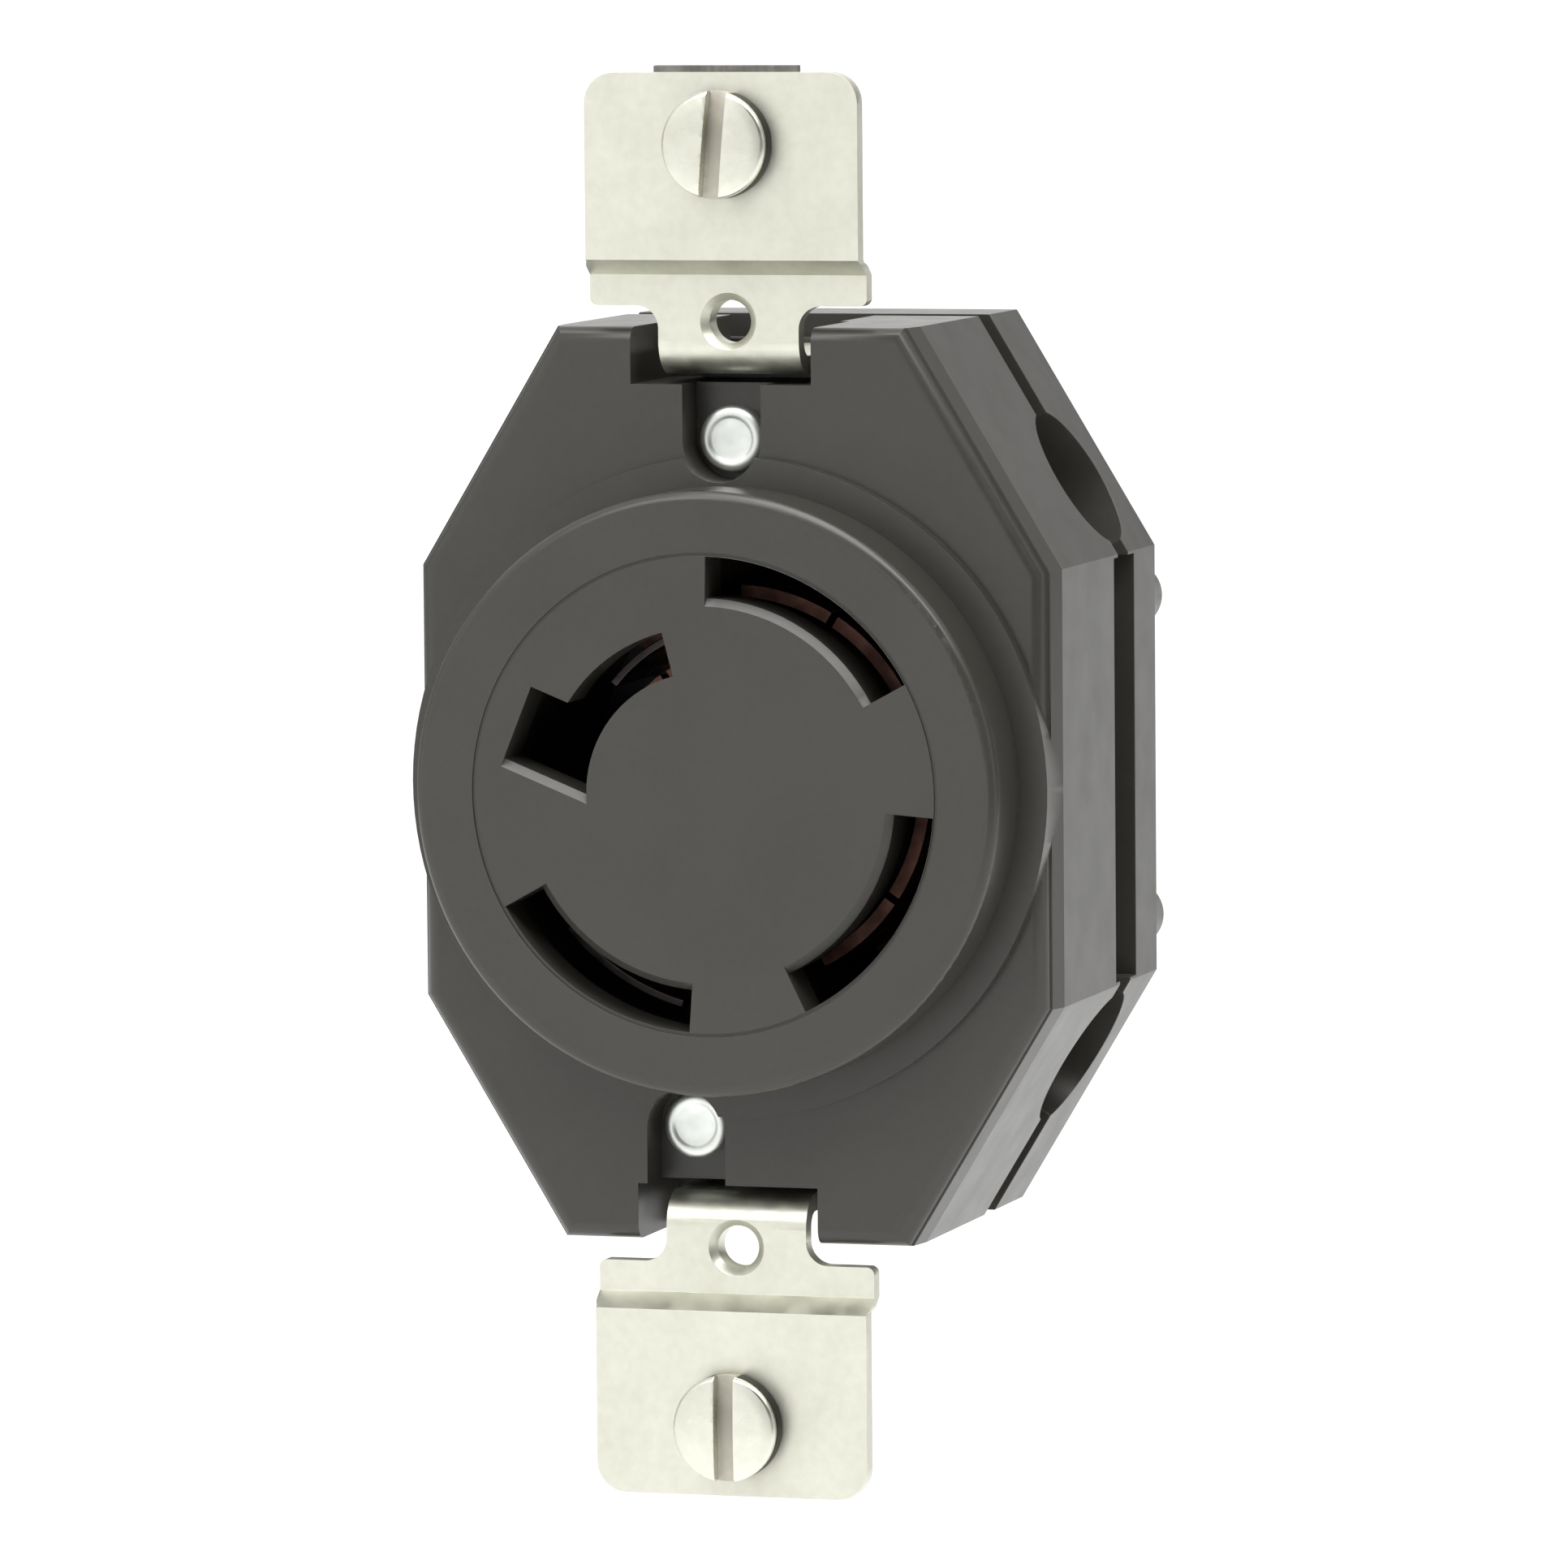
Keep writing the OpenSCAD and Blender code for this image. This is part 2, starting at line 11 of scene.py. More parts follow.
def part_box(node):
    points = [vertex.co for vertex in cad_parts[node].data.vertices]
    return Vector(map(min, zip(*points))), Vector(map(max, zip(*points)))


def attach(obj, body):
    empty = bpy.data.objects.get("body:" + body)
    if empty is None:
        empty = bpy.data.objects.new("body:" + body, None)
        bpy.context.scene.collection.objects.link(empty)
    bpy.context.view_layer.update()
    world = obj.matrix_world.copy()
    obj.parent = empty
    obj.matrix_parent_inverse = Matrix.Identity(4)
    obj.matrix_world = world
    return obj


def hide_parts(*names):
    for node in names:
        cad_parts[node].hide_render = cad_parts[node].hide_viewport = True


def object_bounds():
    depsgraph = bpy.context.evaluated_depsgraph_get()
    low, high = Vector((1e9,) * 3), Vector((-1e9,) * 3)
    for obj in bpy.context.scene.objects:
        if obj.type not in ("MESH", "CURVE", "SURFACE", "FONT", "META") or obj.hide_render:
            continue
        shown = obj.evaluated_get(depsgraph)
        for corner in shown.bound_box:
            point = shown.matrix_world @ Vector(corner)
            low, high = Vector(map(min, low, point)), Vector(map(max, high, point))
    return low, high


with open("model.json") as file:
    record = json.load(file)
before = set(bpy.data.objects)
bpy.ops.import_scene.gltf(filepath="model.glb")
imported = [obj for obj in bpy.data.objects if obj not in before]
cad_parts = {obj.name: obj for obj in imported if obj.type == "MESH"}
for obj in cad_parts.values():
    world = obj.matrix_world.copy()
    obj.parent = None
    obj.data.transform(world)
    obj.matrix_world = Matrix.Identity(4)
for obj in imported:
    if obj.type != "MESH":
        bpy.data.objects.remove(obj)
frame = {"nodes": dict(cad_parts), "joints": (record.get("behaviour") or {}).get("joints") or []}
cad_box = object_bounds()

MM = 0.001

# ---- Camera ----

CAMERA_AZIMUTH = math.radians(16.78)
CAMERA_ELEVATION = math.radians(5.22)
CAMERA_ROLL = math.radians(-0.48)
CAMERA_DISTANCE = 0.7
CAMERA_TARGET = Vector((3.57, -0.8, 0.25)) * MM
FOCAL_LENGTH = 248.1


def make_camera():
    cos_a, sin_a = math.cos(CAMERA_AZIMUTH), math.sin(CAMERA_AZIMUTH)
    cos_e, sin_e = math.cos(CAMERA_ELEVATION), math.sin(CAMERA_ELEVATION)
    cos_r, sin_r = math.cos(CAMERA_ROLL), math.sin(CAMERA_ROLL)
    level = Vector((cos_a, sin_a, 0))
    ahead = Vector((-sin_a * cos_e, cos_a * cos_e, -sin_e))
    upright = level.cross(ahead)
    right = level * cos_r + upright * sin_r
    up = upright * cos_r - level * sin_r
    data = bpy.data.cameras.new("camera")
    data.lens = FOCAL_LENGTH
    data.clip_start, data.clip_end = 0.01, 20
    camera = bpy.data.objects.new("camera", data)
    bpy.context.scene.collection.objects.link(camera)
    turn = Matrix((right, up, -ahead)).transposed().to_4x4()
    camera.matrix_world = Matrix.Translation(CAMERA_TARGET - ahead * CAMERA_DISTANCE) @ turn
    bpy.context.scene.camera = camera


# ---- Nodes for materials ----


def add_node(tree, kind, **inputs):
    node = tree.nodes.new(kind)
    for name, value in inputs.items():
        node.inputs[name.replace("_", " ")].default_value = value
    return node


def noise(tree, size, detail=3.0, stretch=(1, 1, 1)):
    """Noise whose lumps are about size metres across, from 0 to 1, in the piece's own coordinates."""
    place = tree.nodes.new("ShaderNodeTexCoord")
    scaled = add_node(tree, "ShaderNodeMapping", Scale=stretch)
    texture = add_node(tree, "ShaderNodeTexNoise", Scale=1 / size, Detail=detail)
    tree.links.new(place.outputs["Object"], scaled.inputs["Vector"])
    tree.links.new(scaled.outputs["Vector"], texture.inputs["Vector"])
    return texture.outputs["Fac"]


def turned_rings(tree, pitch):
    """Rings round the piece's own Z axis, as a lathe leaves them."""
    place = tree.nodes.new("ShaderNodeTexCoord")
    wave = add_node(tree, "ShaderNodeTexWave", Scale=1 / (20 * pitch), Distortion=0.4, Detail=1.0)
    wave.wave_type = "RINGS"
    wave.rings_direction = "Z"
    tree.links.new(place.outputs["Object"], wave.inputs["Vector"])
    return wave.outputs["Fac"]


def colours(tree, factor, low, high, start=0.3, end=0.7):
    """A colour that goes from low to high as factor goes from start to end."""
    ramp = tree.nodes.new("ShaderNodeValToRGB")
    first, last = ramp.color_ramp.elements
    first.position, first.color = start, (*low, 1)
    last.position, last.color = end, (*high, 1)
    tree.links.new(factor, ramp.inputs["Fac"])
    return ramp.outputs["Color"]


def spread(tree, factor, low, high):
    """A number that goes from low to high as factor goes from 0.3 to 0.7."""
    scale = add_node(tree, "ShaderNodeMapRange", From_Min=0.3, From_Max=0.7, To_Min=low, To_Max=high)
    tree.links.new(factor, scale.inputs["Value"])
    return scale.outputs["Result"]


def tint(tree, colour, factor, shade, amount):
    """Colour darkened or tinted by shade, as much as amount where factor is high."""
    mix = tree.nodes.new("ShaderNodeMix")
    mix.data_type = "RGBA"
    mix.blend_type = "MULTIPLY"
    mix.inputs["B"].default_value = (*shade, 1)
    tree.links.new(spread(tree, factor, 0, amount), mix.inputs["Factor"])
    tree.links.new(colour, mix.inputs["A"])
    return mix.outputs["Result"]


def relief(tree, layers):
    """Bump from (height, depth in metres, strength) layers, one on the other."""
    normal = None
    for height, depth, strength in layers:
        bump = add_node(tree, "ShaderNodeBump", Distance=depth, Strength=strength)
        tree.links.new(height, bump.inputs["Height"])
        if normal:
            tree.links.new(normal, bump.inputs["Normal"])
        normal = bump.outputs["Normal"]
    return normal


def finish(name, metallic, colour, roughness, normal, specular=0.5):
    """A material: colour, roughness and normal are functions that take the node tree."""
    material = bpy.data.materials.new(name)
    material.use_nodes = True
    tree = material.node_tree
    shader = tree.nodes["Principled BSDF"]
    shader.inputs["Metallic"].default_value = metallic
    shader.inputs["Specular IOR Level"].default_value = specular
    tree.links.new(colour(tree), shader.inputs["Base Color"])
    tree.links.new(roughness(tree), shader.inputs["Roughness"])
    tree.links.new(normal(tree), shader.inputs["Normal"])
    return material


# ---- Materials ----


def thermoset(name, dark, light, gloss):
    """Moulded thermoset: a fine matt grain, slow waves of sinking, and a little haze."""

    def colour(tree):
        base = colours(tree, noise(tree, 9 * MM), dark, light)
        return tint(tree, base, noise(tree, 0.5 * MM, 6), (0.8, 0.8, 0.82), 0.5)

    def roughness(tree):
        return spread(tree, noise(tree, 3 * MM, 5), gloss - 0.02, gloss + 0.04)

    def normal(tree):
        return relief(tree, [
            (noise(tree, 8 * MM, 0), 0.02 * MM, 0.25),
            (noise(tree, 0.16 * MM, 3), 0.005 * MM, 0.3),
        ])

    return finish(name, 0, colour, roughness, normal)


def plating(name, dull, bright, gloss, grain=(1, 1, 1), rings=False):
    """Plated steel: cloudy patches, fine scratches along the grain and, on a turned head, rings."""

    def colour(tree):
        base = colours(tree, noise(tree, 5 * MM, 4), dull, bright)
        return tint(tree, base, noise(tree, 0.7 * MM, 6), (0.86, 0.85, 0.8), 0.45)

    def roughness(tree):
        return spread(tree, noise(tree, 1.6 * MM, 5, grain), gloss - 0.07, gloss + 0.09)

    def normal(tree):
        layers = [
            (noise(tree, 0.9 * MM, 3), 0.01 * MM, 0.3),
            (noise(tree, 0.22 * MM, 4, grain), 0.005 * MM, 0.45),
        ]
        if rings:
            layers.append((turned_rings(tree, 0.12 * MM), 0.004 * MM, 0.4))
        return relief(tree, layers)

    return finish(name, 1, colour, roughness, normal)


def copper_alloy(name):
    """Stamped contact metal, tarnished in patches, and dark overall as painted shade for its place deep in
    the slots.
    """

    def colour(tree):
        base = colours(tree, noise(tree, 4 * MM, 5), (0.12, 0.066, 0.055), (0.36, 0.19, 0.15), 0.35, 0.7)
        return tint(tree, base, noise(tree, 1.1 * MM, 5), (0.45, 0.35, 0.34), 0.7)

    def roughness(tree):
        return spread(tree, noise(tree, 1.5 * MM, 4), 0.42, 0.58)

    def normal(tree):
        return relief(tree, [(noise(tree, 0.3 * MM, 4, (1, 0.15, 1)), 0.008 * MM, 0.4)])

    return finish(name, 1, colour, roughness, normal)


def fibre_board(name):
    """Vulcanised fibre: pressed, slightly hairy and dull."""

    def colour(tree):
        base = colours(tree, noise(tree, 1.2 * MM, 6), (0.1, 0.098, 0.09), (0.18, 0.176, 0.164))
        return tint(tree, base, noise(tree, 0.3 * MM, 5, (1, 1, 0.2)), (0.6, 0.58, 0.55), 0.6)

    def roughness(tree):
        return spread(tree, noise(tree, 0.8 * MM, 4), 0.62, 0.82)

    def normal(tree):
        return relief(tree, [(noise(tree, 0.25 * MM, 5, (1, 1, 0.25)), 0.02 * MM, 0.5)])

    return finish(name, 0, colour, roughness, normal, specular=0.3)


def make_materials():
    """A material for each of the record's slots, and two more that paint shade on screw heads: near-black
    plating on their side walls and darker plating in their slots.
    """
    return {
        "thermoset_front": thermoset("thermoset_front", (0.034, 0.032, 0.0275), (0.039, 0.037, 0.0315), 0.3),
        "thermoset_back": thermoset("thermoset_back", (0.035, 0.033, 0.029), (0.04, 0.038, 0.033), 0.32),
        "plated_strap": plating("plated_strap", (0.66, 0.66, 0.58), (0.72, 0.72, 0.635), 0.4, (1, 1, 0.3)),
        "plated_screw": plating("plated_screw", (0.68, 0.68, 0.6), (0.76, 0.76, 0.68), 0.3, rings=True),
        "rivet": plating("rivet", (0.78, 0.81, 0.78), (0.86, 0.89, 0.86), 0.42),
        # Painted shade: the contact springs are near-black for their place deep in the slots.
        "spring_steel": plating("spring_steel", (0.06, 0.052, 0.052), (0.12, 0.1, 0.1), 0.3, (1, 0.1, 1)),
        "clamp_steel": plating("clamp_steel", (0.52, 0.52, 0.48), (0.68, 0.68, 0.63), 0.36, (1, 0.4, 1)),
        "terminal_screw": plating("terminal_screw", (0.6, 0.57, 0.46), (0.76, 0.73, 0.62), 0.3, rings=True),
        # Painted shade: near-black plating on the side walls of screw heads.
        "head_wall_painted_shade": plating("head_wall_painted_shade", (0.03, 0.029, 0.026), (0.09, 0.086, 0.076), 0.55),
        # Painted shade: darker plating in the slots of screw heads.
        "head_slot_painted_shade": plating("head_slot_painted_shade", (0.3, 0.28, 0.24), (0.5, 0.48, 0.42), 0.45),
        "contact_copper": copper_alloy("contact_copper"),
        "fibre": fibre_board("fibre"),
    }


# Which slot a CAD node has, by how its name begins
SLOTS = {
    "face_boss": "thermoset_front",
    "front_cover": "thermoset_front",
    "rear_base": "thermoset_back",
    "strap": "plated_strap",
    "box_screw": "plated_screw",
    "screw_retainer": "fibre",
    "assembly_rivet": "rivet",
    "contact_spring": "spring_steel",
    "contact_": "contact_copper",
    "wire_clamp": "clamp_steel",
    "terminal_screw": "terminal_screw",
}

# How wide the rounding of a CAD node's edges is, by slot. Turned nodes are replaced, so they have none
EDGES = {
    "thermoset_front": 0.22 * MM,
    "thermoset_back": 0.22 * MM,
    "plated_strap": 0.2 * MM,
    "fibre": 0.06 * MM,
    "spring_steel": 0.06 * MM,
    "contact_copper": 0.08 * MM,
    "clamp_steel": 0.12 * MM,
}


def slot_of(node):
    return next(slot for start, slot in SLOTS.items() if node.startswith(start))


FLAT_ANGLE = math.radians(0.6)
SHARP_ANGLE = math.radians(32)


def soften_edges(piece, width):
    """Rounds a CAD node's sharp edges and leaves its flats flat."""
    weld = piece.modifiers.new("weld", "WELD")
    weld.merge_threshold = 1e-6
    flats = piece.modifiers.new("flats", "DECIMATE")
    flats.decimate_type = "DISSOLVE"
    flats.angle_limit = FLAT_ANGLE
    bevel = piece.modifiers.new("bevel", "BEVEL")
    bevel.width = width
    bevel.segments = 3
    bevel.limit_method = "ANGLE"
    bevel.angle_limit = SHARP_ANGLE
    normals = piece.modifiers.new("normals", "WEIGHTED_NORMAL")
    normals.mode = "FACE_AREA_WITH_ANGLE"
    normals.keep_sharp = True


def dress_cad_nodes(materials):
    for name, piece in frame["nodes"].items():
        slot = slot_of(name)
        piece.data.materials.clear()
        piece.data.materials.append(materials[slot])
        if slot in EDGES:
            soften_edges(piece, EDGES[slot])


# ---- Turned pieces ----


def lathe(bm, profile, segments):
    """Turns a profile round Z into a closed shape. Its (radius, z) points begin and end on the axis."""
    rings = []
    for radius, z in profile:
        if radius == 0:
            rings.append([bm.verts.new((0, 0, z))] * segments)
        else:
            rings.append([
                bm.verts.new((radius * math.cos(a), radius * math.sin(a), z))
                for a in (2 * math.pi * i / segments for i in range(segments))
            ])
    for lower, upper in zip(rings, rings[1:]):
        for i in range(segments):
            j = (i + 1) % segments
            corners = [lower[i], lower[j], upper[j], upper[i]]
            bm.faces.new(list(dict.fromkeys(corners)))


def arc(radius, centre, start, end, steps):
    """Points (radius, z) along an arc, with angles in degrees from the radial direction."""
    angles = [math.radians(start + (end - start) * i / steps) for i in range(steps + 1)]
    return [(centre[0] + radius * math.cos(a), centre[1] + radius * math.sin(a)) for a in angles]


def thread_ridge(bm, minor, major, bottom, top, pitch):
    """A right-hand screw thread's ridge, which fades out at both ends and sinks a little into the core."""
    per_turn = 28
    sunk = 0.03 * MM
    crest, root = 0.07 * pitch, 0.46 * pitch
    fade = per_turn / 1.5
    count = int((top - bottom - 2 * root) / pitch * per_turn)
    stations = []
    for i in range(count + 1):
        angle = 2 * math.pi * i / per_turn
        z = bottom + root + pitch * i / per_turn
        foot = minor - sunk
        tooth = minor + (major - minor) * min(1, i / fade, (count - i) / fade)
        outline = [(foot, -root), (tooth, -crest), (tooth, crest), (foot, root)]
        stations.append([
            bm.verts.new((r * math.cos(angle), r * math.sin(angle), z + dz)) for r, dz in outline
        ])
    for this, following in zip(stations, stations[1:]):
        for i in range(4):
            j = (i + 1) % 4
            bm.faces.new([this[i], this[j], following[j], following[i]])
    bm.faces.new(stations[0])
    bm.faces.new(stations[-1])


def new_piece(name, bm, place, body, slot, materials, sharp=40, others=()):
    """A mesh object from bm, put at place, riding on a body. Faces of material 1 and up have the others."""
    bmesh.ops.recalc_face_normals(bm, faces=bm.faces)
    mesh = bpy.data.meshes.new(name)
    bm.to_mesh(mesh)
    bm.free()
    mesh.polygons.foreach_set("use_smooth", [True] * len(mesh.polygons))
    mesh.set_sharp_from_angle(angle=math.radians(sharp))
    mesh.materials.append(materials[slot])
    for other in others:
        mesh.materials.append(materials[other])
    piece = bpy.data.objects.new(name, mesh)
    bpy.context.scene.collection.objects.link(piece)
    piece.matrix_world = place
    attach(piece, body)
    return piece


def cut_slot(bm, width, depth, length, top):
    """The screw in bm with a slot along Y cut into its top, and its sharp edges rounded a little."""
    mesh = bpy.data.meshes.new("uncut")
    bm.to_mesh(mesh)
    bm.free()
    uncut = bpy.data.objects.new("uncut", mesh)
    cutter_bm = bmesh.new()
    bmesh.ops.create_cube(cutter_bm, size=1)
    bmesh.ops.scale(cutter_bm, verts=cutter_bm.verts, vec=(width, length, 2 * depth))
    bmesh.ops.translate(cutter_bm, verts=cutter_bm.verts, vec=(0, 0, top))
    cutter_mesh = bpy.data.meshes.new("cutter")
    cutter_bm.to_mesh(cutter_mesh)
    cutter_bm.free()
    cutter = bpy.data.objects.new("cutter", cutter_mesh)
    for piece in (uncut, cutter):
        bpy.context.scene.collection.objects.link(piece)
    cut = uncut.modifiers.new("slot", "BOOLEAN")
    cut.object = cutter
    cut.operation = "DIFFERENCE"
    cut.solver = "EXACT"
    edge = uncut.modifiers.new("edge", "BEVEL")
    edge.width = 0.06 * MM
    edge.segments = 2
    edge.limit_method = "ANGLE"
    edge.angle_limit = math.radians(45)
    shown = uncut.evaluated_get(bpy.context.evaluated_depsgraph_get())
    result = bmesh.new()
    result.from_mesh(shown.to_mesh())
    shown.to_mesh_clear()
    for piece in (uncut, cutter):
        bpy.data.objects.remove(piece)
    return result


PITCH = 25.4 / 32 * MM
BOX_SCREW = {
    "head_r": 3.5 * MM, "head_h": 1.9 * MM, "edge": 0.36 * MM, "crown": 0.12 * MM,
    "slot_w": 1.3 * MM, "slot_d": 0.95 * MM, "major": 1.75 * MM,
    "neck_r": 1.5 * MM, "neck": 2.05 * MM, "length": 19 * MM,
}
TERMINAL_SCREW = {
    "head_r": 3.5 * MM, "head_h": 2.2 * MM, "edge": 0.4 * MM, "crown": 0.1 * MM,
    "slot_w": 1.1 * MM, "slot_d": 1.1 * MM, "major": 2.05 * MM,
    "neck_r": 1.6 * MM, "neck": 0.6 * MM, "length": 6.8 * MM,
}


def screw_profile(size, minor, wall_top):
    """Half of a machine screw's outline, from its tip to the middle of its crowned head."""
    point_r, point_h = 0.35 * MM, 0.4 * MM
    neck_taper = 0.25 * MM
    foot = 0.12 * MM
    head_r, head_h, edge = size["head_r"], size["head_h"], size["edge"]
    tip = -size["length"]
    profile = [(0, tip), (minor - point_r, tip), (minor, tip + point_h), (minor, -size["neck"] - neck_taper)]
    profile += [(size["neck_r"], -size["neck"]), (size["neck_r"], 0)]
    profile += [(head_r - foot, 0), (head_r, foot), (head_r, wall_top)]
    profile += arc(edge, (head_r - edge, wall_top), 0, 78, 6)[1:]
    rim_r, rim_z = profile[-1]
    profile += [(rim_r * (1 - t), rim_z + (head_h - rim_z) * (1 - (1 - t) ** 2)) for t in (0.25, 0.5, 0.75)]
    profile += [(0, head_h)]
    return profile


def paint_head_shade(bm, size, wall_top):
    """Paints shade on the head: its side wall gets the piece's second material, near-black, and its slot the
    third, darker plating.
    """
    slot_reach = size["slot_w"] / 2 + 0.02 * MM
    wall_reach = size["head_r"] - 0.2 * MM
    for face in bm.faces:
        middle = face.calc_center_median()
        in_head = 0 < middle.z < wall_top
        if in_head and abs(middle.x) < slot_reach:
            face.material_index = 2
        elif in_head and middle.xy.length > wall_reach:
            face.material_index = 1


def machine_screw(name, node, body, place, size, materials):
    """A slotted machine screw whose head stands on z = 0 and points along +Z."""
    minor = size["major"] - 0.57 * PITCH
    wall_top = size["head_h"] - size["crown"] - size["edge"]
    slot_length = 2.4 * size["head_r"]
    thread_start = 0.1 * MM - size["length"]
    bm = bmesh.new()
    lathe(bm, screw_profile(size, minor, wall_top), 56)
    bmesh.ops.recalc_face_normals(bm, faces=bm.faces)
    bm = cut_slot(bm, size["slot_w"], size["slot_d"], slot_length, size["head_h"])
    paint_head_shade(bm, size, wall_top)
    thread_ridge(bm, minor, size["major"], thread_start, -size["neck"], PITCH)
    piece = new_piece(name, bm, place, body, slot_of(node), materials, others=("head_wall_painted_shade", "head_slot_painted_shade"))
    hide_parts(node)


# How far each box screw's slot leans to the right, in degrees
SLOT_LEAN = {"top": 5, "bottom": 0}


def placed(origin, outward, along):
    """The place of a piece whose Z points outward and whose Y runs along."""
    across = along.cross(outward)
    turn = Matrix((across, along, outward)).transposed().to_4x4()
    return Matrix.Translation(origin) @ turn


def make_box_screws(materials):
    for end in ("top", "bottom"):
        node = f"box_screw_{end}"
        low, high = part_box(node)
        seat = Vector(((low.x + high.x) / 2, low.y + BOX_SCREW["head_h"], (low.z + high.z) / 2))
        lean = math.radians(SLOT_LEAN[end])
        place = placed(seat, Vector((0, -1, 0)), Vector((math.sin(lean), 0, math.cos(lean))))
        machine_screw(f"{node}_threaded", node, f"{node}_body", place, BOX_SCREW, materials)


def make_terminal_screws(materials):
    turns = {joint["child"]: joint for joint in frame["joints"]}
    for pole in ("x", "y", "z", "neutral"):
        node = f"terminal_screw_{pole}"
        joint = turns[f"{node}_body"]
        outward = Vector(joint["axis"]).normalized()
        centre = Vector(joint["pos_m"])
        head_top = max((vertex.co - centre).dot(outward) for vertex in frame["nodes"][node].data.vertices)
        seat = centre + outward * (head_top - TERMINAL_SCREW["head_h"])
        place = placed(seat, outward, Vector((0, 1, 0)))
        machine_screw(f"{node}_threaded", node, f"{node}_body", place, TERMINAL_SCREW, materials)


def rivet_profile(length):
    """Half of a rivet's outline, from the hollow in its clinched end to the middle of its dished head."""
    head_r, shank_r, flare_r, hollow_r = 2.2 * MM, 1.6 * MM, 2.3 * MM, 0.9 * MM
    head_h, flare_h, hollow_h = 1.2 * MM, 0.8 * MM, 4 * MM
    rim, dish = 0.5 * MM, 0.1 * MM
    seat = length - head_h
    dish_r = head_r - 1.65 * rim
    dish_z = length - 0.2 * rim
    profile = [(0, hollow_h), (hollow_r, hollow_h), (hollow_r, 0.5 * MM), (hollow_r + 0.3 * MM, 0.12 * MM)]
    profile += arc(flare_h / 2, (flare_r - flare_h / 2, flare_h / 2), -90, 60, 8)
    profile += [(shank_r, flare_h + 0.3 * MM), (shank_r, seat), (head_r - 0.1 * MM, seat)]
    profile += arc(rim, (head_r - rim, length - rim), 0, 130, 8)
    angles = [math.radians(a) for a in range(15, 90, 15)]
    profile += [(dish_r * math.cos(a), dish_z - dish * math.sin(a)) for a in angles]
    profile += [(0, dish_z - dish)]
    return profile


def make_rivets(materials):
    """Rivets with a rolled ring round a shallow dish, and a flared clinch at the back."""
    for end in ("top", "bottom"):
        node = f"assembly_rivet_{end}"
        low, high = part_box(node)
        bm = bmesh.new()
        lathe(bm, rivet_profile(high.y - low.y), 48)
        place = placed(Vector(((low.x + high.x) / 2, high.y, (low.z + high.z) / 2)),
                       Vector((0, -1, 0)), Vector((0, 0, 1)))
        piece = new_piece(f"{node}_rolled", bm, place, "root", "rivet", materials, sharp=50)
        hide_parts(node)


# ---- Stage ----

FLOOR_DROP = 0.12
FLOOR_R = 0.3
BOWL_R = 2.4
BOWL_FILLET = 0.9
BOWL_H = 2.2

# Each card's distance, first and last azimuth from the front towards the right, lowest and highest
# point, and darker and lighter tone
FLAGS = {
    "dark_card": (0.95, 4, 78, (-0.15, 0.75), (0.02, 0.02, 0.022), (0.03, 0.03, 0.033)),
    "right_card": (1.15, 98, 153, (-0.15, 0.7), (0.05, 0.05, 0.05), (0.07, 0.07, 0.07)),
    "high_card": (1.15, 153, 178, (0.1, 0.6), (0.34, 0.34, 0.34), (0.38, 0.38, 0.38)),
    "left_card": (1.15, -148, -84, (-0.15, 0.5), (0.3, 0.3, 0.3), (0.34, 0.34, 0.34)),
}


def make_stage():
    """A pale round floor that curves up into a wall on every side."""
    floor_z = cad_box[0].z - FLOOR_DROP
    profile = [(FLOOR_R, 0), (BOWL_R - BOWL_FILLET, 0)]
    profile += arc(BOWL_FILLET, (BOWL_R - BOWL_FILLET, BOWL_FILLET), -90, 0, 16)
    profile += [(BOWL_R, BOWL_H)]
    segments = 96
    bm = bmesh.new()
    rings = [[bm.verts.new((r * math.cos(a), r * math.sin(a), floor_z + z))
              for a in (2 * math.pi * i / segments for i in range(segments))] for r, z in profile]
    middle = bm.verts.new((0, 0, floor_z))
    for i in range(segments):
        bm.faces.new([middle, rings[0][i], rings[0][(i + 1) % segments]])
    for lower, upper in zip(rings, rings[1:]):
        for i in range(segments):
            j = (i + 1) % segments
            bm.faces.new([lower[i], upper[i], upper[j], lower[j]])
    mesh = bpy.data.meshes.new("floor")
    bm.to_mesh(mesh)
    bm.free()
    mesh.polygons.foreach_set("use_smooth", [True] * len(mesh.polygons))

    def colour(tree):
        return colours(tree, noise(tree, 0.25, 2), (0.48, 0.48, 0.478), (0.52, 0.52, 0.518))

    def roughness(tree):
        return spread(tree, noise(tree, 0.02, 3), 0.75, 0.85)

    def normal(tree):
        return relief(tree, [(noise(tree, 0.004, 3), 0.02 * MM, 0.2)])

    paper = finish("pale_paper", 0, colour, roughness, normal, specular=0.1)
    shader = paper.node_tree.nodes["Principled BSDF"]
    shader.inputs["Emission Color"].default_value = (1, 1, 0.99, 1)
    shader.inputs["Emission Strength"].default_value = 0.56
    mesh.materials.append(paper)
    floor = bpy.data.objects.new("floor", mesh)
    bpy.context.scene.collection.objects.link(floor)


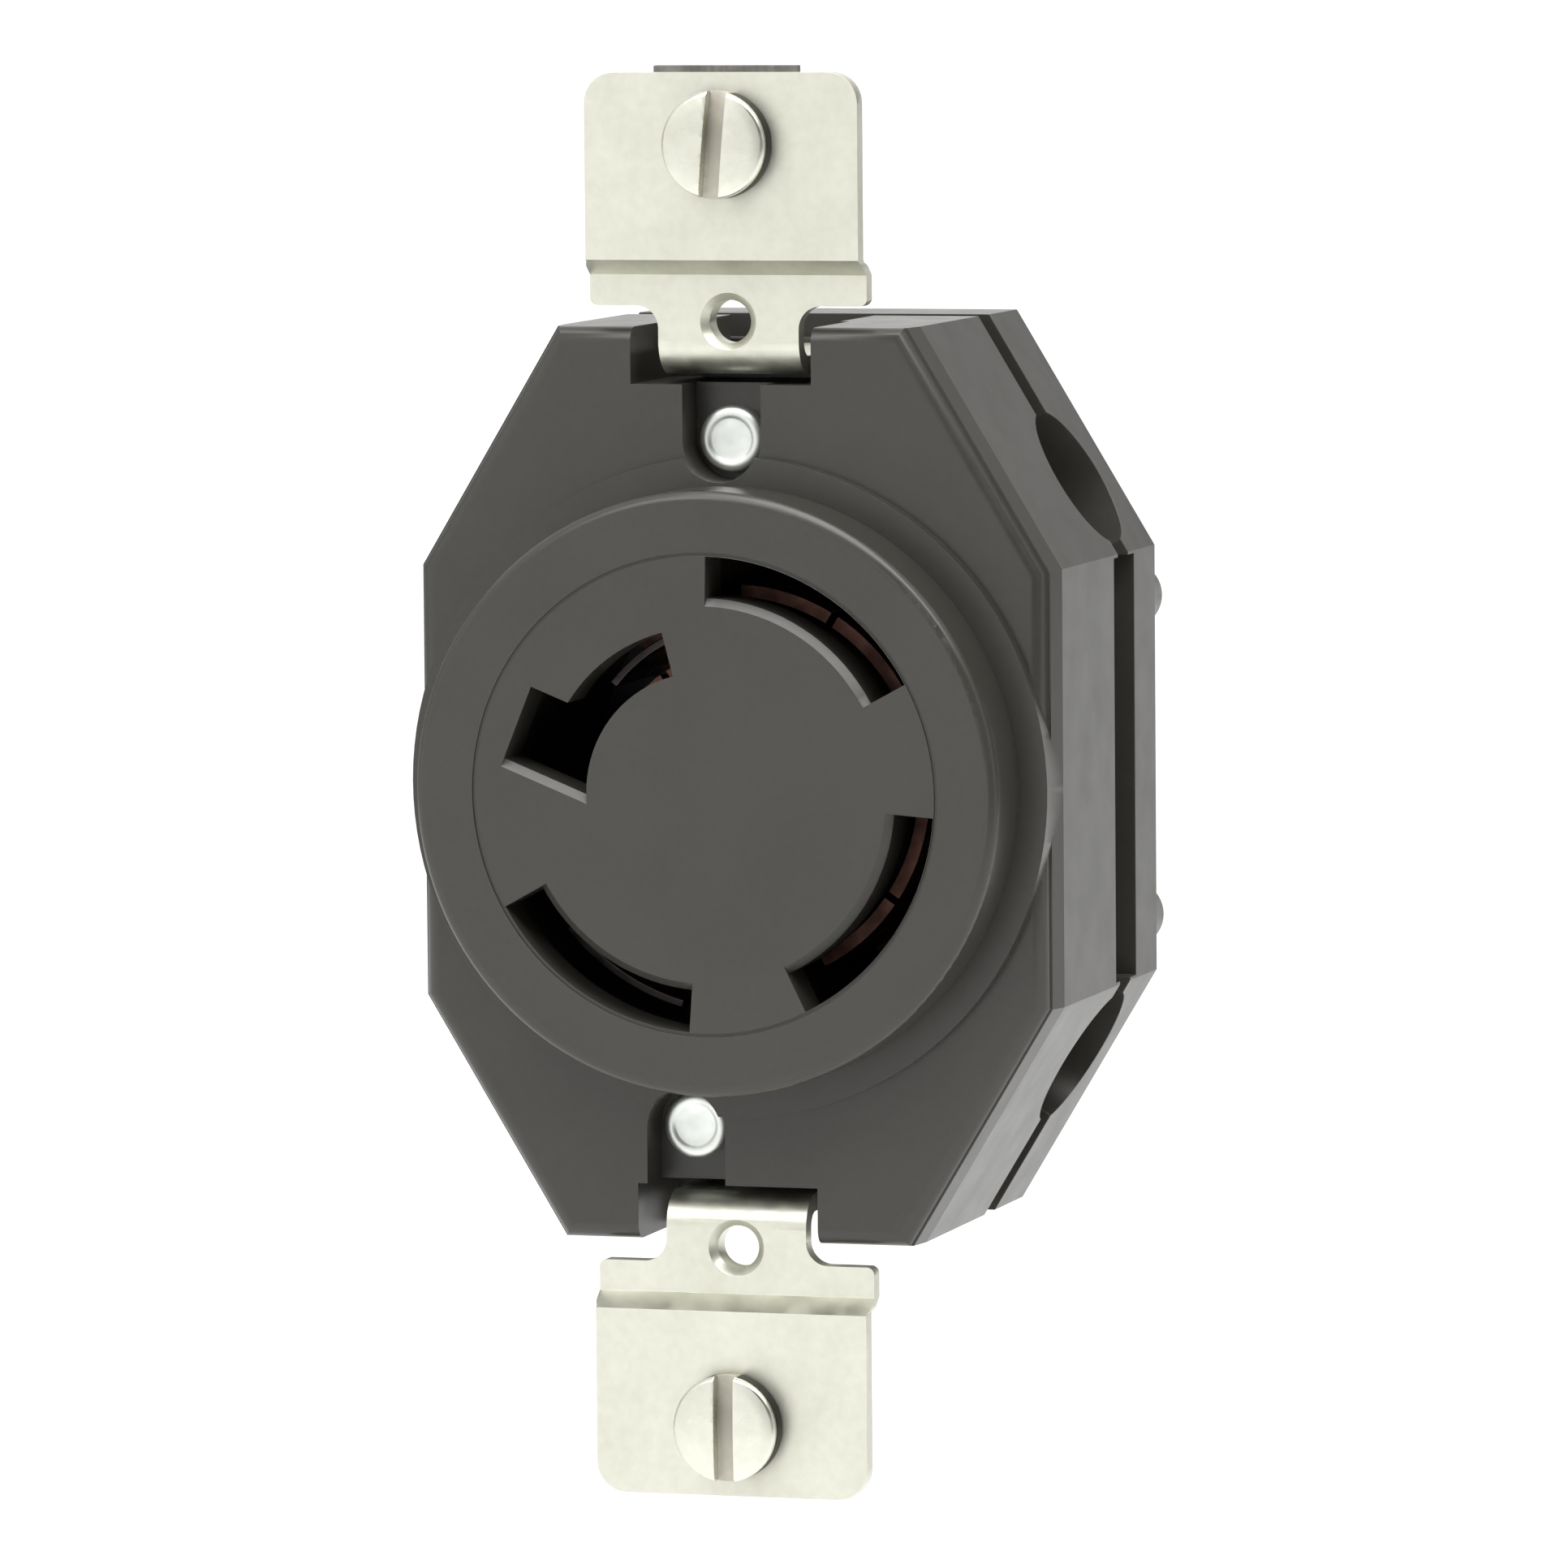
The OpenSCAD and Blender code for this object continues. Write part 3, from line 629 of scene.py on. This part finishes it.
def make_flag(name, radius, first, last, heights, dark, light):
    """A curved card that sides, edges and screw heads mirror, and that the camera doesn't see."""
    steps = 14
    bm = bmesh.new()
    columns = []
    for i in range(steps + 1):
        azimuth = math.radians(first + (last - first) * i / steps)
        columns.append([bm.verts.new((radius * math.sin(azimuth), -radius * math.cos(azimuth), z))
                        for z in heights])
    for this, following in zip(columns, columns[1:]):
        bm.faces.new([this[0], following[0], following[1], this[1]])
    mesh = bpy.data.meshes.new(name)
    bm.to_mesh(mesh)
    bm.free()

    def colour(tree):
        return colours(tree, noise(tree, 0.05, 2), dark, light)

    def roughness(tree):
        return spread(tree, noise(tree, 0.01, 2), 0.85, 0.95)

    def normal(tree):
        return relief(tree, [(noise(tree, 0.003, 3), 0.05 * MM, 0.3)])

    mesh.materials.append(finish(name, 0, colour, roughness, normal, specular=0.1))
    flag = bpy.data.objects.new(name, mesh)
    flag.visible_camera = False
    bpy.context.scene.collection.objects.link(flag)


def soft_light(name, place, size, power, colour=(1, 1, 1)):
    """A rectangular lamp that faces the origin."""
    data = bpy.data.lights.new(name, "AREA")
    data.shape = "RECTANGLE"
    data.size, data.size_y = size
    data.energy = power
    data.color = colour
    light = bpy.data.objects.new(name, data)
    light.location = place
    light.rotation_euler = (-Vector(place)).to_track_quat("-Z", "Y").to_euler()
    bpy.context.scene.collection.objects.link(light)


def make_lights():
    soft_light("top", (0.2, -0.25, 1.1), (1.0, 1.0), 16)
    soft_light("key", (-0.35, -0.75, 0.8), (0.6, 0.6), 4)
    soft_light("rim", (0.75, -0.35, 0.75), (0.4, 0.3), 2.5, (1, 0.985, 0.95))
    world = bpy.data.worlds.new("studio")
    world.use_nodes = True
    background = world.node_tree.nodes["Background"]
    background.inputs["Color"].default_value = (1, 1, 1, 1)
    background.inputs["Strength"].default_value = 0.9
    bpy.context.scene.world = world


bpy.context.scene.view_settings.view_transform = "Standard"
make_camera()
make_stage()
for flag_name, flag_shape in FLAGS.items():
    make_flag(flag_name, *flag_shape)
make_lights()
all_materials = make_materials()
dress_cad_nodes(all_materials)
make_box_screws(all_materials)
make_terminal_screws(all_materials)
make_rivets(all_materials)
